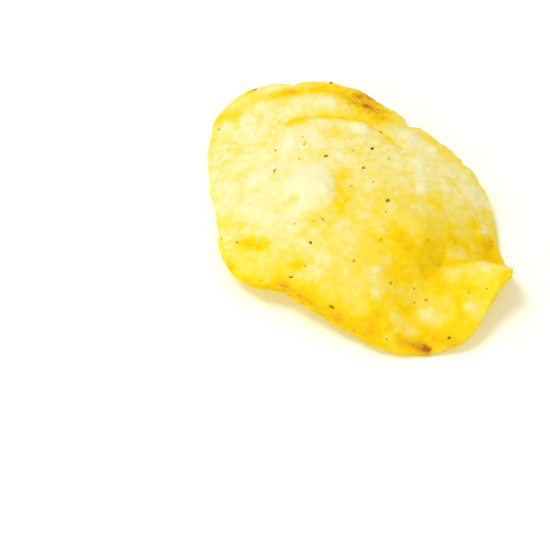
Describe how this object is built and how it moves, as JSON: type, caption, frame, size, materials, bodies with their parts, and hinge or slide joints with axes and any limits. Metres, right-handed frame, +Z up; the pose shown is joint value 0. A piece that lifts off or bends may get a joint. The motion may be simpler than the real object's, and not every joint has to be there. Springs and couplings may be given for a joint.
{
  "type": "potato crisp",
  "caption": "Single fried potato crisp, a thin blistered slice bent into a low dome with one corner curled up, dotted with specks of seasoning.",
  "frame": {"origin": "centre of the bounding box's bottom, on the surface that the crisp lies on", "axes": "+Z up, +Y from the front foot towards the raised back rim, +X towards the curled corner on the right"},
  "size_m": [0.054, 0.0606, 0.0111],
  "materials": {
    "fried_potato": "satin"
  },
  "bodies": {
    "root": {"crisp": "fried_potato"}
  },
  "joints": []
}
